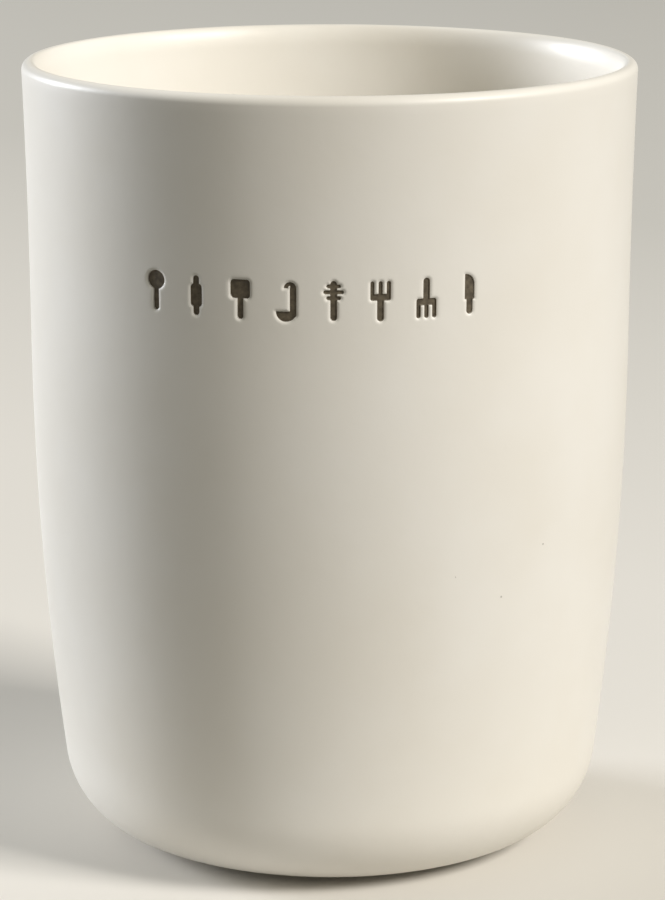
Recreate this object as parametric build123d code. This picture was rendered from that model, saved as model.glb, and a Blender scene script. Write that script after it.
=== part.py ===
from build123d import *
import math
import os

# A stoneware crock for kitchen utensils. It is one fired clay body with a satin glaze over all but
# the foot ring, and a row of small stamped marks whose bottoms are filled with dark stain.
# Millimetres. The origin is the centre of the foot ring on the table, +Z is up, and the row of
# marks faces -Y.

# Overall form, measured over the glaze
height = 171.0
wall = 4.0
floor_thickness = 6.5

# Outside of the wall: upright at the waist, a faint flare above it and a long belly below
waist_radius = 65.0
waist_height = 114.0
rim_flare = 1.0
belly_arc_radius = 756.0
corner_radius = 19.5
inside_corner_radius = 18.0

# Lip: a quarter round outside, which runs down the inside as a longer, softer curve
lip_inside_height = 5.0

# Foot: the wall turns under to a low narrow ring, which has a shallow well inside it
foot_inset = 25.0
foot_ring_width = 4.5
foot_height = 0.9
well_depth = 2.8
foot_edge_radius = 0.35
foot_root_radius = 0.35
well_corner_radius = 0.9
foot_outer_radius = waist_radius - foot_inset

# Glaze: one even coat, wiped off the bottom of the foot ring
glaze_thickness = 0.35
bare_foot_height = 0.45

# The row of marks: each is pressed square to the wall, and its bottom is filled with stain
mark_row_height = 130.0
mark_row_turn = -3.5
mark_pitch = 9.5
stamp_depth = 0.9
stain_thickness = 0.35

# How far each mark stands askew, in degrees, and above or below the row, from left to right
mark_tilts = [-3.0, 2.0, -1.5, 3.0, -2.0, 1.5, -1.0, 2.5]
mark_lifts = [0.5, 0.2, 0.0, -0.2, 0.1, -0.1, 0.2, 0.4]

# The drawing of the marks
mark_height = 8.0
mark_head_width = 4.0
mark_head_length = 3.8
mark_stroke = 1.2
mark_fine_stroke = 0.7
pin_body_width = 2.4
pin_body_length = 4.6
dipper_groove = 0.5
hook_radius = 1.2
knife_blade_width = 2.0
knife_blade_length = 5.0


def lip_height():
    """The height at which the rounding of the lip starts, outside."""
    return height - wall / 2


def flare_arc_radius():
    """The hollow arc that leaves the waist upright and flares to the rim at the lip."""
    rise = lip_height() - waist_height
    return (rise**2 + rim_flare**2) / (2 * rim_flare)


def wall_radius(z, depth=0.0):
    """The wall's radius at a height below the lip, at a depth under its outer surface."""
    if z < waist_height:
        arc = belly_arc_radius - depth
        return waist_radius - belly_arc_radius + math.sqrt(arc**2 - (z - waist_height) ** 2)
    arc = flare_arc_radius() + depth
    return waist_radius + flare_arc_radius() - math.sqrt(arc**2 - (z - waist_height) ** 2)


def wall_arc(z_from, z_to, depth=0.0):
    """One stretch of the wall's profile, on one side of the waist."""
    middle = (z_from + z_to) / 2
    # The waist itself belongs to the stretch that is drawn, whichever side that is on
    waist = (waist_radius - depth, waist_height)
    ends = [waist if z == waist_height else (wall_radius(z, depth), z) for z in (z_from, z_to)]
    return ThreePointArc(ends[0], (wall_radius(middle, depth), middle), ends[1])


def corner_arc(depth):
    """The arc that turns under from the belly to the top of the foot, tangent to the belly, at a
    depth under its surface."""
    foot_top = Vector(foot_outer_radius, foot_height)
    belly_centre = Vector(waist_radius - belly_arc_radius, waist_height)
    reach = belly_arc_radius - corner_radius
    across = foot_top - belly_centre
    # The arc's centre lies at reach from the belly's, and at its own radius from the foot's top
    along = (reach**2 - corner_radius**2 + across.length**2) / (2 * across.length)
    towards = across.normalized()
    square = Vector(-towards.Y, towards.X)
    centre = belly_centre + towards * along + square * math.sqrt(reach**2 - along**2)
    arc = corner_radius - depth
    foot_side = foot_outer_radius - depth
    foot_end = Vector(foot_side, centre.Y - math.sqrt(arc**2 - (foot_side - centre.X) ** 2))
    belly_end = centre + (centre - belly_centre).normalized() * arc
    bisector = ((foot_end - centre) + (belly_end - centre)).normalized()
    return ThreePointArc(foot_end, centre + bisector * arc, belly_end)


def lip_curves(depth):
    """The lip, at a depth under its surface: over the top from the outside to the inside."""
    lip = lip_height()
    round_radius = wall / 2 - depth
    middle = wall_radius(lip, depth) - round_radius
    inside_end = height - lip_inside_height
    inside_width = middle - wall_radius(inside_end, wall - depth)
    return [
        CenterArc((middle, lip), round_radius, 0, 90),
        EllipticalCenterArc(
            (middle, inside_end), inside_width, lip_inside_height - depth, start_angle=90, arc_size=90
        ),
    ]


def rounded(outline, radius, z, rounding):
    """The outline with its corner nearest to a point rounded."""
    corner = min(outline.vertices(), key=lambda v: math.hypot(v.X - radius, v.Y - z))
    return fillet(corner, rounding)


def crock_section(depth=0.0):
    """The crock in section, at a depth under its surface all round, with the foot ring's own edges
    still sharp."""
    foot_outer = foot_outer_radius - depth
    foot_inner = foot_outer_radius - foot_ring_width + depth
    well_top = well_depth + depth
    floor_top = well_depth + floor_thickness - depth
    inner = wall - depth
    inside_corner = (wall_radius(floor_top, inner), floor_top)
    lip = lip_curves(depth)
    corner = corner_arc(depth)
    foot_top, belly_foot = corner @ 0, corner @ 1
    lines = [
        Polyline(
            inside_corner,
            (0, floor_top),
            (0, well_top),
            (foot_inner, well_top),
            (foot_inner, depth),
            (foot_outer, depth),
            foot_top,
        ),
        corner,
        wall_arc(belly_foot.Y, waist_height, depth),
        wall_arc(waist_height, lip_height(), depth),
        *lip,
        wall_arc(height - lip_inside_height, waist_height, inner),
        wall_arc(waist_height, floor_top, inner),
    ]
    outline = make_face(lines)
    outline = rounded(outline, *inside_corner, inside_corner_radius + depth)
    outline = rounded(outline, foot_inner, well_top, well_corner_radius + depth)
    return rounded(outline, foot_outer, foot_top.Y, foot_root_radius + depth)


def finished_section():
    """The crock in section over its glaze, with the foot ring's edges rounded."""
    outline = crock_section()
    for radius in (foot_outer_radius - foot_ring_width, foot_outer_radius):
        outline = rounded(outline, radius, 0, foot_edge_radius)
    return outline


def core_section(depth):
    """All that the outside of the wall holds, at a depth under its surface."""
    lip = lip_height()
    base = well_depth + floor_thickness
    lines = [
        Polyline((wall_radius(lip, depth), lip), (0, lip), (0, base), (wall_radius(base, depth), base)),
        wall_arc(base, waist_height, depth),
        wall_arc(waist_height, lip, depth),
    ]
    return make_face(lines)


def turned(section):
    """The solid that a section sweeps about the crock's axis."""
    return revolve(Plane.XZ * section, Axis.Z)


def stroke(start, end, width):
    """A round-ended stroke that starts and ends at two points."""
    run = Vector(*end) - Vector(*start)
    middle = (Vector(*end) + Vector(*start)) / 2
    turn = math.degrees(math.atan2(run.Y, run.X))
    return Pos(middle.X, middle.Y) * Rot(0, 0, turn) * SlotOverall(run.length, width)


def top():
    return mark_height / 2


def head_foot():
    """Where a mark's head ends and its handle begins."""
    return top() - mark_head_length


def handle(upper_end):
    return stroke((0, -top()), (0, upper_end), mark_stroke)


def fine_strokes(lower_end, upper_end):
    """Three fine upright strokes, as wide together as a mark's head."""
    side = (mark_head_width - mark_fine_stroke) / 2
    return [stroke((x, lower_end), (x, upper_end), mark_fine_stroke) for x in (-side, 0, side)]


def crossbar(y):
    half = mark_head_width / 2
    return stroke((-half, y), (half, y), mark_stroke)


def spoon_mark():
    bowl = Ellipse(mark_head_width / 2, mark_head_length / 2)
    return Pos(0, top() - mark_head_length / 2) * bowl + handle(head_foot() + mark_stroke)


def rolling_pin_mark():
    return handle(top()) + RectangleRounded(pin_body_width, pin_body_length, mark_fine_stroke)


def turner_mark():
    blade = RectangleRounded(mark_head_width, mark_head_length, mark_fine_stroke)
    return Pos(0, top() - mark_head_length / 2) * blade + handle(head_foot() + mark_stroke)


def ladle_mark():
    bowl_radius = mark_head_width / 2
    bowl_rim = bowl_radius - top()
    above_rim = Pos(0, bowl_rim + bowl_radius) * Rectangle(2 * mark_head_width, 2 * bowl_radius)
    bowl = Pos(0, bowl_rim) * Circle(bowl_radius) - above_rim
    handle_x = bowl_radius - mark_stroke / 2
    hook_top = Pos(bowl_radius - hook_radius, top() - hook_radius)
    below_hook = Pos(0, -hook_radius) * Rectangle(4 * hook_radius, 2 * hook_radius)
    hook = hook_top * (Circle(hook_radius) - Circle(hook_radius - mark_fine_stroke) - below_hook)
    stem_top = top() - hook_radius + mark_stroke / 2
    stem = stroke((handle_x, bowl_rim - mark_stroke), (handle_x, stem_top), mark_stroke)
    return bowl + stem + hook


def dipper_mark():
    """A honey dipper: a grooved head on a thin stick."""
    step = mark_fine_stroke + dipper_groove
    widths = [mark_head_width - mark_stroke, mark_head_width, mark_head_width - mark_stroke]
    first = top() - mark_fine_stroke / 2 - len(widths) * step + dipper_groove
    rings = [
        stroke((-width / 2, first + i * step), (width / 2, first + i * step), mark_fine_stroke)
        for i, width in enumerate(widths)
    ]
    return handle(top()) + rings


def fork_mark():
    yoke = crossbar(head_foot() + mark_stroke / 2)
    return handle(head_foot() + mark_stroke) + yoke + fine_strokes(head_foot(), top())


def brush_mark():
    """A pastry brush, bristles down."""
    ferrule = -head_foot() - mark_stroke / 2
    return (
        stroke((0, ferrule), (0, top()), mark_stroke)
        + crossbar(ferrule)
        + fine_strokes(-top(), -head_foot())
    )


def knife_mark():
    spine = -knife_blade_width / 2
    heel = top() - knife_blade_length
    belly = (-spine, top() - knife_blade_width)
    shoulder = knife_blade_width * math.sqrt(0.5)
    blade = make_face(
        [
            Polyline(belly, (-spine, heel), (spine, heel), (spine, top())),
            ThreePointArc((spine, top()), (spine + shoulder, belly[1] + shoulder), belly),
        ]
    )
    return blade + handle(heel + mark_stroke)


MARKS = {
    "spoon": spoon_mark,
    "rolling_pin": rolling_pin_mark,
    "turner": turner_mark,
    "ladle": ladle_mark,
    "honey_dipper": dipper_mark,
    "fork": fork_mark,
    "brush": brush_mark,
    "knife": knife_mark,
}


def mark_plane(index):
    """The plane that a mark is drawn on, square to the wall and touching it, with the mark's own
    tilt. Its normal points outwards."""
    z = mark_row_height + mark_lifts[index]
    radius = wall_radius(z)
    pitch_angle = math.degrees(mark_pitch / radius)
    angle = math.radians(mark_row_turn + (index - (len(MARKS) - 1) / 2) * pitch_angle)
    outward = Vector(math.sin(angle), -math.cos(angle), 0)
    sideways = Vector(math.cos(angle), math.sin(angle), 0)
    on_wall = outward * radius + Vector(0, 0, z)
    return Plane(origin=on_wall, x_dir=sideways, z_dir=outward).rotated((0, 0, mark_tilts[index]))


def mark_punches():
    """One straight punch for each mark, from clear of the wall to halfway through it."""
    punches = {}
    for index, (name, draw) in enumerate(MARKS.items()):
        face = mark_plane(index).offset(wall / 2) * draw()
        punches[name] = extrude(face, amount=-wall)
    return punches


def write(name, solid):
    solid.label = name
    export_step(solid, f"parts/{name}.step")
    print(name, len(solid.solids()), "solids", round(solid.volume, 2), "mm3")


def main():
    os.makedirs("parts", exist_ok=True)
    section = finished_section()
    foot_band = Pos(foot_outer_radius, 0) * Rectangle(4 * foot_ring_width, 2 * bare_foot_height)
    clay_section = crock_section(glaze_thickness) + (section & foot_band)
    well_coat, crock_coat = sorted((section - clay_section).faces(), key=lambda coat: coat.area)
    clay = turned(clay_section)
    glaze = turned(crock_coat)

    stamped_core = turned(core_section(stamp_depth))
    stained_core = turned(core_section(stamp_depth - stain_thickness))
    for name, punch in mark_punches().items():
        recess = punch - stamped_core
        clay = clay - recess
        glaze = glaze - punch
        write(f"{name}_mark_stain", recess & stained_core)

    write("stoneware_body", clay)
    write("glaze_coat", glaze)
    write("foot_well_glaze", turned(well_coat))


main()
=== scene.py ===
import math

import bmesh
import bpy
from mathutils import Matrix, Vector, noise
from mathutils.bvhtree import BVHTree


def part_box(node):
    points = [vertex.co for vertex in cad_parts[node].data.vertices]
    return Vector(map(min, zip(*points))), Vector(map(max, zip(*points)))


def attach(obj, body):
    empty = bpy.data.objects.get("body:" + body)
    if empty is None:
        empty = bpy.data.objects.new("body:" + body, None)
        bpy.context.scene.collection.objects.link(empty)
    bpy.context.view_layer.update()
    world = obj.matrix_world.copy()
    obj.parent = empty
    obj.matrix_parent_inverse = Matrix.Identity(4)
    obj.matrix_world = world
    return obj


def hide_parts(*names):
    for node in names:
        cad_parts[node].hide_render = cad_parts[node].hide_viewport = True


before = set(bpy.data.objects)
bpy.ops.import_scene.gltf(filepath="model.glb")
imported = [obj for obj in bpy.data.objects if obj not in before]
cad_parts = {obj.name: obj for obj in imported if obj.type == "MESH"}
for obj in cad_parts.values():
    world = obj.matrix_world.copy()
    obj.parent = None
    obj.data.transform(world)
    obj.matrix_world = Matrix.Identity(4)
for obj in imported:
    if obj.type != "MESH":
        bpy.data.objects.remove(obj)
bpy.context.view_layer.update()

# The looks of a stoneware utensil crock: a satin cream glaze with softly rounded stamped marks, dark
# stain at the bottom of each mark, and a bare foot ring. Lengths are in millimetres up to the mesh.
MM = 0.001
MARKS = ("spoon", "rolling_pin", "turner", "ladle", "honey_dipper", "fork", "brush", "knife")

# The crock's section. Its top and the start of its glaze come from the frame, and the other lengths
# are the driving dimensions that the part itself has.
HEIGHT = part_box("glaze_coat")[1].z / MM
GLAZE_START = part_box("glaze_coat")[0].z / MM
WALL = 4.0
FLOOR_TOP = 9.3
WAIST_RADIUS = 65.0
WAIST_HEIGHT = 114.0
RIM_FLARE = 1.0
FLARE_RADIUS = ((HEIGHT - WALL / 2 - WAIST_HEIGHT) ** 2 + RIM_FLARE**2) / (2 * RIM_FLARE)
BELLY_RADIUS = 756.0
CORNER_RADIUS = 19.5
INSIDE_CORNER_RADIUS = 18.0
LIP_INSIDE_HEIGHT = 5.0
FOOT_RADIUS = 40.0
FOOT_HEIGHT = 0.9
FOOT_ROOT_RADIUS = 0.35
GLAZE_THICKNESS = 0.35

# The steps that each stretch of the section is drawn in, from the foot to the axis
ROOT_STEPS = 4
CORNER_STEPS = 18
BELLY_STEPS = 36
FLARE_STEPS = 28
LIP_STEPS = 9
LIP_INSIDE_STEPS = 14
FLARE_INSIDE_STEPS = 14
BELLY_INSIDE_STEPS = 20
INSIDE_CORNER_STEPS = 12
FLOOR_STEPS = 8

# How finely the glaze is spun, and how finely it is divided round each mark
SPIN_STEPS = 192
DIVIDE_CUTS = 3
COARSE_MARGIN = 2.2
FINE_MARGIN = 0.8
SAME_PLACE = 1e-4

# How deep the stain's top lies in the wall, how much deeper its sides are looked for, and how far
# outward a side's normal may lean at most
STAIN_TOP_DEPTH = 0.55
STAIN_TEST_DEPTH = 0.15
SIDE_LEAN = 0.5

# The glaze rolls down towards each mark's outline. A vertex nearer to the outline than this share of
# the finest spacing moves onto it.
ROLL_WIDTH = 0.75
ROLL_DEPTH = 0.27
ONTO_OUTLINE = 0.55

# The glaze lies a little unevenly, in broad waves and in close ones
BROAD_WAVE = 42.0
BROAD_WAVE_DEPTH = 0.08
CLOSE_WAVE = 13.0
CLOSE_WAVE_DEPTH = 0.016
CLOSE_WAVE_START = Vector((9, 4, 2))

SHARP_ANGLE = math.radians(40)

# The glaze's colours, the size of each pattern in it, and how deep its peel and its waves are
GLAZE_PALE = "#F6F3EC"
GLAZE_DEEP = "#F2EEE5"
CLOUD_SIZE = 38.0
SPECK_COLOUR = "#6B5E4C"
SPECK_SPACING = 9.0
SPECK_RADIUS = 0.288
GLOSS_SIZE = 7.0
PEEL_SIZE = 1.8
PEEL_DEPTH = 0.03
WAVE_SIZE = 11.0
WAVE_DEPTH = 0.1

# The stain's and the clay's
STAIN_DARK = "#4A4133"
STAIN_PALE = "#6E6452"
PATCH_SIZE = 1.1
PATCH_DEPTH = 0.08
CLAY_DARK = "#BFA987"
CLAY_PALE = "#DCCBAE"
CLAY_STAINED = "#6A5E4B"
GRAIN_SIZE = 0.7
GRAIN_DEPTH = 0.12

# The sockets of a colour Mix node
MIX_A = 6
MIX_B = 7
MIX_RESULT = 2

# The camera, fitted to the outline in the photograph, which is 900 pixels high
PHOTO_HEIGHT = 900
FOCAL_PIXELS = 3551.3
CAMERA_PLACE = (0.57, -760.0, 262.0)
CAMERA_PITCH = 0.2294

# The studio, in metres. Its paper floor is pale near the crock and painted greyer towards the back
# right, a painted shade where the studio light falls off.
FLOOR_SIZE = 16.0
FLOOR_CELLS = 8
FLOOR_COLOUR = "#E3E0DA"
FLOOR_SHADE_COLOUR = "#CDCBC5"
FLOOR_SHADE_WAY = (0.67, 0.74, 0.0)
FLOOR_PALE_TO = 0.20
FLOOR_SHADE_FROM = 0.70
ROOM_FLOOR_COLOUR = "#48463F"
PAPER_TO = 0.02
ROOM_FLOOR_FROM = 0.18
KEY_LIGHT = dict(
    azimuth=60, elevation=34, distance=5.0, size=1.6, power=240.0, colour="#FFFBF5"
)
SIDE_LIGHT = dict(
    azimuth=-116, elevation=13, distance=5.0, size=1.8, power=260.0, colour="#F6F9FF"
)
ROOM_COLOUR = "#EFECDE"
ROOM_LEVEL = 0.28


def arc(centre, start, end, count):
    """Points from start towards end, the short way round a centre, without the end itself."""
    begin = math.atan2(start.y - centre.y, start.x - centre.x)
    turn = math.atan2(end.y - centre.y, end.x - centre.x) - begin
    turn = (turn + math.pi) % (2 * math.pi) - math.pi
    radius = (start - centre).length
    angles = [begin + turn * i / count for i in range(count)]
    return [centre + radius * Vector((math.cos(a), math.sin(a))) for a in angles]


def section():
    """The glaze's surface in section, as radius and height: from the foot up the outside, over the
    lip, down the inside and along the floor to the axis."""
    flare_centre = Vector((WAIST_RADIUS + FLARE_RADIUS, WAIST_HEIGHT))
    belly_centre = Vector((WAIST_RADIUS - BELLY_RADIUS, WAIST_HEIGHT))
    waist = Vector((WAIST_RADIUS, WAIST_HEIGHT))
    waist_inside = waist - Vector((WALL, 0))

    # The corner's arc touches the belly's and runs through the top of the foot
    reach = BELLY_RADIUS - CORNER_RADIUS
    across = Vector((FOOT_RADIUS, FOOT_HEIGHT)) - belly_centre
    along = (reach**2 - CORNER_RADIUS**2 + across.length_squared) / (2 * across.length)
    towards = across.normalized()
    square = Vector((-towards.y, towards.x))
    corner = belly_centre + towards * along + square * math.sqrt(reach**2 - along**2)
    belly_foot = corner + (corner - belly_centre).normalized() * CORNER_RADIUS

    # The small hollow where the foot's side meets the corner
    root_x = FOOT_RADIUS + FOOT_ROOT_RADIUS
    root_reach = CORNER_RADIUS + FOOT_ROOT_RADIUS
    root = Vector((root_x, corner.y - math.sqrt(root_reach**2 - (root_x - corner.x) ** 2)))
    root_top = corner + (root - corner) * CORNER_RADIUS / root_reach

    # The inside corner rests on the floor and touches the inside of the belly
    rise = FLOOR_TOP + INSIDE_CORNER_RADIUS - WAIST_HEIGHT
    inside_reach = BELLY_RADIUS - WALL - INSIDE_CORNER_RADIUS
    inside = belly_centre + Vector((math.sqrt(inside_reach**2 - rise**2), rise))
    inside_top = inside + (inside - belly_centre).normalized() * INSIDE_CORNER_RADIUS
    floor_edge = inside - Vector((0, INSIDE_CORNER_RADIUS))
    axis = Vector((0, FLOOR_TOP))

    # The lip is a quarter round outside and a quarter of a tall ellipse inside
    rim = Vector((WAIST_RADIUS + RIM_FLARE, HEIGHT - WALL / 2))
    lip_centre = rim - Vector((WALL / 2, 0))
    lip_top = Vector((lip_centre.x, HEIGHT))
    inside_end = HEIGHT - LIP_INSIDE_HEIGHT
    inside_flare = FLARE_RADIUS + WALL
    rise = inside_end - WAIST_HEIGHT
    rim_inside = Vector((flare_centre.x - math.sqrt(inside_flare**2 - rise**2), inside_end))
    inside_width = lip_top.x - rim_inside.x
    turns = [math.pi / 2 * i / LIP_INSIDE_STEPS for i in range(LIP_INSIDE_STEPS)]
    lip_inside = [
        lip_top + Vector((-inside_width * math.sin(t), LIP_INSIDE_HEIGHT * (math.cos(t) - 1)))
        for t in turns
    ]
    return (
        [Vector((FOOT_RADIUS, GLAZE_START))]
        + arc(root, Vector((FOOT_RADIUS, root.y)), root_top, ROOT_STEPS)
        + arc(corner, root_top, belly_foot, CORNER_STEPS)
        + arc(belly_centre, belly_foot, waist, BELLY_STEPS)
        + arc(flare_centre, waist, rim, FLARE_STEPS)
        + arc(lip_centre, rim, lip_top, LIP_STEPS)
        + lip_inside
        + arc(flare_centre, rim_inside, waist_inside, FLARE_INSIDE_STEPS)
        + arc(belly_centre, waist_inside, inside_top, BELLY_INSIDE_STEPS)
        + arc(inside, inside_top, floor_edge, INSIDE_CORNER_STEPS)
        + [floor_edge.lerp(axis, i / FLOOR_STEPS) for i in range(FLOOR_STEPS + 1)]
    )


def outside_radius(z):
    """The wall's outer radius at a height between the corner and the lip."""
    if z < WAIST_HEIGHT:
        return WAIST_RADIUS - BELLY_RADIUS + math.sqrt(BELLY_RADIUS**2 - (z - WAIST_HEIGHT) ** 2)
    return WAIST_RADIUS + FLARE_RADIUS - math.sqrt(FLARE_RADIUS**2 - (z - WAIST_HEIGHT) ** 2)


def outward(point):
    """The level way from the axis to a place."""
    return Vector((point.x, point.y, 0)).normalized()


def on_wall(point, depth):
    """The place at a depth under the wall's outer surface, at a point's angle and height."""
    return outward(point) * (outside_radius(point.z) - depth) + Vector((0, 0, point.z))


def on_outside(point):
    """Whether a place in the upper part of the wall is on its outer side."""
    return point.xy.length > WAIST_RADIUS - WALL / 2


class Stamp:
    """One stamped mark, and how far a place on the wall is from its outline."""

    def __init__(self, node):
        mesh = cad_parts[node].data
        points = [vert.co / MM for vert in mesh.vertices]
        triangles = [tuple(face.vertices) for face in mesh.polygons]
        sides = []
        for triangle in triangles:
            a, b, c = (points[i] for i in triangle)
            normal = (b - a).cross(c - a)
            if normal.length > 0 and abs(normal.normalized().dot(outward(a))) < SIDE_LEAN:
                sides.append(triangle)
        self.whole = BVHTree.FromPolygons(points, triangles)
        self.sides = BVHTree.FromPolygons(points, sides)
        angles = [math.atan2(p.x, -p.y) for p in points]
        heights = [p.z for p in points]
        self.angles = (min(angles), max(angles))
        self.heights = (min(heights), max(heights))

    def near(self, point, margin):
        """Whether a place is within a margin of the mark's own range of angles and heights."""
        angle = math.atan2(point.x, -point.y)
        spare = margin / WAIST_RADIUS
        return (
            self.angles[0] - spare < angle < self.angles[1] + spare
            and self.heights[0] - margin < point.z < self.heights[1] + margin
        )

    def outline(self, point):
        """How far a place is outside the mark's outline, or inside it where that is below zero, and
        the step along the wall to the nearest place on the outline."""
        buried = on_wall(point, STAIN_TOP_DEPTH + STAIN_TEST_DEPTH)
        place, _, _, distance = self.sides.find_nearest(buried)
        hit = self.whole.ray_cast(on_wall(point, -WALL), -outward(point), 2 * WALL)[0]
        return (distance if hit is None else -distance), place - buried


def stamp_near(stamps, point, margin):
    """The mark within a margin of a place on the outside, if there is one."""
    if not on_outside(point):
        return None
    return next((stamp for stamp in stamps if stamp.near(point, margin)), None)


def divide_near_marks(bm, stamps, margin):
    """Divides the faces of the outside that lie within a margin of a mark's outline."""
    faces = []
    for face in bm.faces:
        middle = face.calc_center_median()
        stamp = stamp_near(stamps, middle, margin)
        if stamp and abs(stamp.outline(middle)[0]) < margin:
            faces.append(face)
    edges = list(dict.fromkeys(edge for face in faces for edge in face.edges))
    bmesh.ops.subdivide_edges(bm, edges=edges, cuts=DIVIDE_CUTS, use_grid_fill=True)


def press_marks(bm, stamps, spacing):
    """Rolls the glaze down into the marks and opens it along their outlines."""
    on_outline = []
    for vert in bm.verts:
        stamp = stamp_near(stamps, vert.co, 2 * ROLL_WIDTH)
        if not stamp:
            continue
        away, step = stamp.outline(vert.co)
        place = vert.co
        depth = 0
        if abs(away) < ONTO_OUTLINE * spacing:
            place = vert.co + step
            depth = ROLL_DEPTH
            on_outline.append(vert)
        elif away < 0:
            depth = ROLL_DEPTH
        elif away < ROLL_WIDTH:
            depth = ROLL_DEPTH * (1 - away / ROLL_WIDTH) ** 2
        vert.co = on_wall(place, depth)
    bmesh.ops.connect_verts(bm, verts=on_outline)
    stamped = []
    for face in bm.faces:
        middle = face.calc_center_median()
        stamp = stamp_near(stamps, middle, spacing)
        if stamp and stamp.outline(middle)[0] < 0:
            stamped.append(face)
    bmesh.ops.delete(bm, geom=stamped, context="FACES")


def hand_made(bm, ways):
    """Lets the glaze lie a little unevenly, always under its nominal surface."""
    for vert in bm.verts:
        broad = noise.noise(vert.co / BROAD_WAVE)
        close = noise.noise(vert.co / CLOSE_WAVE + CLOSE_WAVE_START)
        depth = BROAD_WAVE_DEPTH * (1 + broad) + CLOSE_WAVE_DEPTH * (1 + close)
        vert.co -= ways[vert] * depth


def thicken(bm, ways, thickness):
    """Gives an open surface its thickness, all of it under the surface."""
    under = [(vert, vert.co - ways[vert] * thickness) for vert in bm.verts]
    bmesh.ops.extrude_face_region(bm, geom=bm.faces[:], use_keep_orig=True)
    for vert, place in under:
        vert.co = place
    bmesh.ops.recalc_face_normals(bm, faces=bm.faces)


def finish_mesh(bm, name, material):
    """Makes an object of a mesh in millimetres, smooth but for its sharp edges."""
    for face in bm.faces:
        face.smooth = True
    for edge in bm.edges:
        edge.smooth = len(edge.link_faces) != 2 or edge.calc_face_angle() < SHARP_ANGLE
    bmesh.ops.scale(bm, vec=(MM, MM, MM), verts=bm.verts)
    mesh = bpy.data.meshes.new(name)
    bm.to_mesh(mesh)
    bm.free()
    mesh.materials.append(material)
    piece = bpy.data.objects.new(name, mesh)
    bpy.context.scene.collection.objects.link(piece)
    return piece


def satin_glaze_coat(material):
    """The glaze over the outside, the lip and the inside, open at the marks."""
    stamps = [Stamp(f"{mark}_mark_stain") for mark in MARKS]
    bm = bmesh.new()
    verts = [bm.verts.new((p.x, 0, p.y)) for p in section()]
    edges = [bm.edges.new(pair) for pair in zip(verts, verts[1:])]
    bmesh.ops.spin(
        bm, geom=verts + edges, cent=(0, 0, 0), axis=(0, 0, 1), dvec=(0, 0, 0),
        angle=2 * math.pi, steps=SPIN_STEPS, use_merge=True, use_duplicate=False,
    )
    bmesh.ops.remove_doubles(bm, verts=bm.verts, dist=SAME_PLACE)
    divide_near_marks(bm, stamps, COARSE_MARGIN)
    divide_near_marks(bm, stamps, FINE_MARGIN)

    # The plain wall's own normals, kept from before the marks tilt them
    bmesh.ops.recalc_face_normals(bm, faces=bm.faces)
    bm.normal_update()
    ways = {vert: vert.normal.copy() for vert in bm.verts}
    cell = 2 * math.pi * WAIST_RADIUS / SPIN_STEPS
    press_marks(bm, stamps, cell / (DIVIDE_CUTS + 1) ** 2)
    hand_made(bm, ways)
    thicken(bm, ways, GLAZE_THICKNESS)
    piece = finish_mesh(bm, "satin_glaze", material)
    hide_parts("glaze_coat")
    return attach(piece, "root")


def linear(hex_colour):
    """A colour written in sRGB hex, as linear values."""
    channels = [int(hex_colour[i : i + 2], 16) / 255 for i in (1, 3, 5)]
    return [c / 12.92 if c <= 0.04045 else ((c + 0.055) / 1.055) ** 2.4 for c in channels] + [1]


def add(tree, kind, inputs=None, **settings):
    """Adds a node, with its settings, and its inputs as values or as other nodes' outputs."""
    made = tree.nodes.new(kind)
    for key, value in settings.items():
        setattr(made, key, value)
    for key, value in (inputs or {}).items():
        if isinstance(value, bpy.types.NodeSocket):
            tree.links.new(value, made.inputs[key])
        else:
            made.inputs[key].default_value = value
    return made


def per(millimetres):
    """A pattern's scale, for features that far apart."""
    return 1 / (millimetres * MM)


def new_material(name, roughness, ior):
    """A material, its nodes, its shader, and a place on the object for its patterns to read."""
    material = bpy.data.materials.new(name)
    material.use_nodes = True
    tree = material.node_tree
    shader = tree.nodes["Principled BSDF"]
    shader.inputs["Roughness"].default_value = roughness
    shader.inputs["IOR"].default_value = ior
    place = add(tree, "ShaderNodeTexCoord").outputs["Object"]
    return material, tree, shader, place


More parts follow.
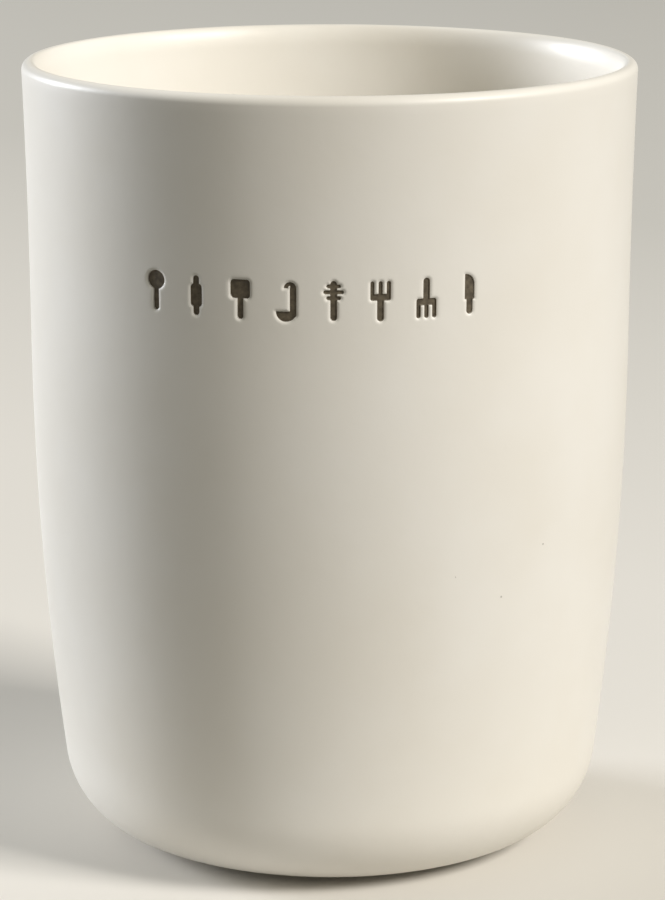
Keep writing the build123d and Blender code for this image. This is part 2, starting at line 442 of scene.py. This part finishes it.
def cream_satin_glaze():
    """A stoneware glaze fired to a satin: opaque cream, faintly mottled, with a fine orange peel, a
    few iron specks, and soft wide highlights."""
    material, tree, shader, place = new_material("cream_satin_glaze", 0.42, 1.5)
    broad = add(
        tree, "ShaderNodeTexNoise", {"Vector": place, "Scale": per(CLOUD_SIZE), "Detail": 3.0}
    )
    cloud = add(
        tree, "ShaderNodeMapRange",
        {"Value": broad.outputs["Fac"], "From Min": 0.35, "From Max": 0.65},
    )
    base = add(
        tree, "ShaderNodeMix",
        {"Factor": cloud.outputs["Result"], MIX_A: linear(GLAZE_PALE), MIX_B: linear(GLAZE_DEEP)},
        data_type="RGBA",
    )

    # Iron specks up to 0.6 mm across, in one cell in three
    cells = add(tree, "ShaderNodeTexVoronoi", {"Vector": place, "Scale": per(SPECK_SPACING)})
    chosen = add(tree, "ShaderNodeSeparateColor", {"Color": cells.outputs["Color"]})
    size = add(
        tree, "ShaderNodeMapRange",
        {
            "Value": chosen.outputs["Red"], "From Min": 0.66, "From Max": 1.0,
            "To Min": 0.0, "To Max": SPECK_RADIUS / SPECK_SPACING,
        },
    )
    speck = add(
        tree, "ShaderNodeMath", {0: size.outputs["Result"], 1: cells.outputs["Distance"]},
        operation="GREATER_THAN",
    )
    strength = add(
        tree, "ShaderNodeMath", {0: speck.outputs["Value"], 1: 0.45}, operation="MULTIPLY"
    )
    speckled = add(
        tree, "ShaderNodeMix",
        {
            "Factor": strength.outputs["Value"],
            MIX_A: base.outputs[MIX_RESULT],
            MIX_B: linear(SPECK_COLOUR),
        },
        data_type="RGBA",
    )
    tree.links.new(speckled.outputs[MIX_RESULT], shader.inputs["Base Color"])

    gloss = add(
        tree, "ShaderNodeTexNoise", {"Vector": place, "Scale": per(GLOSS_SIZE), "Detail": 4.0}
    )
    rough = add(
        tree, "ShaderNodeMapRange",
        {"Value": gloss.outputs["Fac"], "To Min": 0.36, "To Max": 0.48},
    )
    tree.links.new(rough.outputs["Result"], shader.inputs["Roughness"])

    peel = add(
        tree, "ShaderNodeTexNoise", {"Vector": place, "Scale": per(PEEL_SIZE), "Detail": 2.0}
    )
    bump = add(
        tree, "ShaderNodeBump",
        {"Height": peel.outputs["Fac"], "Strength": 0.5, "Distance": PEEL_DEPTH * MM},
    )
    wave = add(
        tree, "ShaderNodeTexNoise", {"Vector": place, "Scale": per(WAVE_SIZE), "Detail": 2.0}
    )
    waves = add(
        tree, "ShaderNodeBump",
        {
            "Height": wave.outputs["Fac"], "Strength": 0.3, "Distance": WAVE_DEPTH * MM,
            "Normal": bump.outputs["Normal"],
        },
    )
    tree.links.new(waves.outputs["Normal"], shader.inputs["Normal"])
    return material


def dark_oxide_stain():
    """Iron and manganese oxide rubbed into the marks and fired: dry, dark grey-brown, patchy."""
    material, tree, shader, place = new_material("dark_oxide_stain", 0.6, 1.5)
    patch = add(
        tree, "ShaderNodeTexNoise", {"Vector": place, "Scale": per(PATCH_SIZE), "Detail": 3.0}
    )
    spread = add(
        tree, "ShaderNodeMapRange",
        {"Value": patch.outputs["Fac"], "From Min": 0.35, "From Max": 0.7},
    )
    colour = add(
        tree, "ShaderNodeMix",
        {"Factor": spread.outputs["Result"], MIX_A: linear(STAIN_DARK), MIX_B: linear(STAIN_PALE)},
        data_type="RGBA",
    )
    tree.links.new(colour.outputs[MIX_RESULT], shader.inputs["Base Color"])
    bump = add(
        tree, "ShaderNodeBump",
        {"Height": patch.outputs["Fac"], "Strength": 0.5, "Distance": PATCH_DEPTH * MM},
    )
    tree.links.new(bump.outputs["Normal"], shader.inputs["Normal"])
    return material


def bare_stoneware():
    """Fired clay with no glaze: dry, buff, with fine grog that shows as darker and paler grains.
    Above the waist only the sides of the marks show, and there the stain colours the clay."""
    material, tree, shader, place = new_material("bare_stoneware", 0.9, 1.45)
    grain = add(
        tree, "ShaderNodeTexNoise", {"Vector": place, "Scale": per(GRAIN_SIZE), "Detail": 5.0}
    )
    spread = add(
        tree, "ShaderNodeMapRange",
        {"Value": grain.outputs["Fac"], "From Min": 0.3, "From Max": 0.7},
    )
    clay = add(
        tree, "ShaderNodeMix",
        {"Factor": spread.outputs["Result"], MIX_A: linear(CLAY_DARK), MIX_B: linear(CLAY_PALE)},
        data_type="RGBA",
    )
    height = add(tree, "ShaderNodeSeparateXYZ", {"Vector": place})
    stamped = add(
        tree, "ShaderNodeMath", {0: height.outputs["Z"], 1: WAIST_HEIGHT * MM},
        operation="GREATER_THAN",
    )
    colour = add(
        tree, "ShaderNodeMix",
        {
            "Factor": stamped.outputs["Value"],
            MIX_A: clay.outputs[MIX_RESULT],
            MIX_B: linear(CLAY_STAINED),
        },
        data_type="RGBA",
    )
    tree.links.new(colour.outputs[MIX_RESULT], shader.inputs["Base Color"])
    bump = add(
        tree, "ShaderNodeBump",
        {"Height": grain.outputs["Fac"], "Strength": 0.6, "Distance": GRAIN_DEPTH * MM},
    )
    tree.links.new(bump.outputs["Normal"], shader.inputs["Normal"])
    return material


def dress(node, material):
    """Gives a CAD node's own solid a material."""
    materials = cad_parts[node].data.materials
    materials.clear()
    materials.append(material)


def paper_with_painted_shade():
    """Matt paper, which the camera sees all the way back. The light that reaches the crock comes
    from a darker room floor instead, which starts beyond the foot."""
    material, tree, shader, place = new_material("paper_with_painted_shade", 0.9, 1.4)
    way = add(
        tree, "ShaderNodeVectorMath", {0: place, 1: FLOOR_SHADE_WAY}, operation="DOT_PRODUCT"
    )
    # Painted shade: the paper's colour turns greyer towards the back right, standing in for the
    # studio light falling off there
    painted_falloff = add(
        tree, "ShaderNodeMapRange",
        {
            "Value": way.outputs["Value"],
            "From Min": FLOOR_PALE_TO,
            "From Max": FLOOR_SHADE_FROM,
        },
    )
    paper = add(
        tree, "ShaderNodeMix",
        {
            "Factor": painted_falloff.outputs["Result"],
            MIX_A: linear(FLOOR_COLOUR),
            MIX_B: linear(FLOOR_SHADE_COLOUR),
        },
        data_type="RGBA",
    )
    reach = add(tree, "ShaderNodeVectorMath", {0: place}, operation="LENGTH")
    beyond = add(
        tree, "ShaderNodeMapRange",
        {"Value": reach.outputs["Value"], "From Min": PAPER_TO, "From Max": ROOM_FLOOR_FROM},
    )
    rays = add(tree, "ShaderNodeLightPath")
    seen = add(
        tree, "ShaderNodeMath",
        {0: rays.outputs["Is Camera Ray"], 1: rays.outputs["Is Glossy Ray"]},
    )
    seen = add(
        tree, "ShaderNodeMath", {0: seen.outputs["Value"], 1: rays.outputs["Is Transmission Ray"]}
    )
    unseen = add(
        tree, "ShaderNodeMath", {0: 1.0, 1: seen.outputs["Value"]}, operation="SUBTRACT",
        use_clamp=True,
    )
    dark = add(
        tree, "ShaderNodeMath", {0: beyond.outputs["Result"], 1: unseen.outputs["Value"]},
        operation="MULTIPLY",
    )
    colour = add(
        tree, "ShaderNodeMix",
        {
            "Factor": dark.outputs["Value"],
            MIX_A: paper.outputs[MIX_RESULT],
            MIX_B: linear(ROOM_FLOOR_COLOUR),
        },
        data_type="RGBA",
    )
    tree.links.new(colour.outputs[MIX_RESULT], shader.inputs["Base Color"])
    return material


def paper_floor():
    """A pale floor that runs back out of sight."""
    bm = bmesh.new()
    bmesh.ops.create_grid(
        bm, x_segments=FLOOR_CELLS, y_segments=FLOOR_CELLS, size=FLOOR_SIZE / 2
    )
    mesh = bpy.data.meshes.new("floor")
    bm.to_mesh(mesh)
    bm.free()
    mesh.materials.append(paper_with_painted_shade())
    floor = bpy.data.objects.new("floor", mesh)
    bpy.context.scene.collection.objects.link(floor)


def soft_box(name, azimuth, elevation, distance, size, power, colour):
    """A square soft light that faces the crock. Azimuth 0 is in front, and 90 is to the right."""
    light = bpy.data.lights.new(name, "AREA")
    light.shape = "SQUARE"
    light.size = size
    light.energy = power
    light.color = linear(colour)[:3]
    lamp = bpy.data.objects.new(name, light)
    bpy.context.scene.collection.objects.link(lamp)
    turn = math.radians(azimuth)
    lift = math.radians(elevation)
    level = math.cos(lift)
    way = Vector((math.sin(turn) * level, -math.cos(turn) * level, math.sin(lift)))
    lamp.location = Vector((0, 0, HEIGHT / 2 * MM)) + way * distance
    lamp.rotation_euler = way.to_track_quat("Z", "Y").to_euler()
    lamp.visible_camera = False


def studio():
    """Two soft lights and a plain room round them."""
    soft_box("key_light", **KEY_LIGHT)
    soft_box("side_light", **SIDE_LIGHT)
    world = bpy.data.worlds.new("room")
    bpy.context.scene.world = world
    world.use_nodes = True
    background = world.node_tree.nodes["Background"]
    background.inputs["Color"].default_value = linear(ROOM_COLOUR)
    background.inputs["Strength"].default_value = ROOM_LEVEL
    bpy.context.scene.view_settings.view_transform = "Standard"


def photo_camera():
    """The camera stands where the photograph's outline of the rim, wall and foot puts it."""
    data = bpy.data.cameras.new("photo_camera")
    data.lens = FOCAL_PIXELS * data.sensor_width / PHOTO_HEIGHT
    camera = bpy.data.objects.new("photo_camera", data)
    bpy.context.scene.collection.objects.link(camera)
    camera.location = Vector(CAMERA_PLACE) * MM
    camera.rotation_euler = (math.pi / 2 - CAMERA_PITCH, 0, 0)
    bpy.context.scene.camera = camera


photo_camera()
paper_floor()
studio()
glaze = cream_satin_glaze()
stain = dark_oxide_stain()
satin_glaze_coat(glaze)
dress("foot_well_glaze", glaze)
dress("stoneware_body", bare_stoneware())
for mark in MARKS:
    dress(f"{mark}_mark_stain", stain)
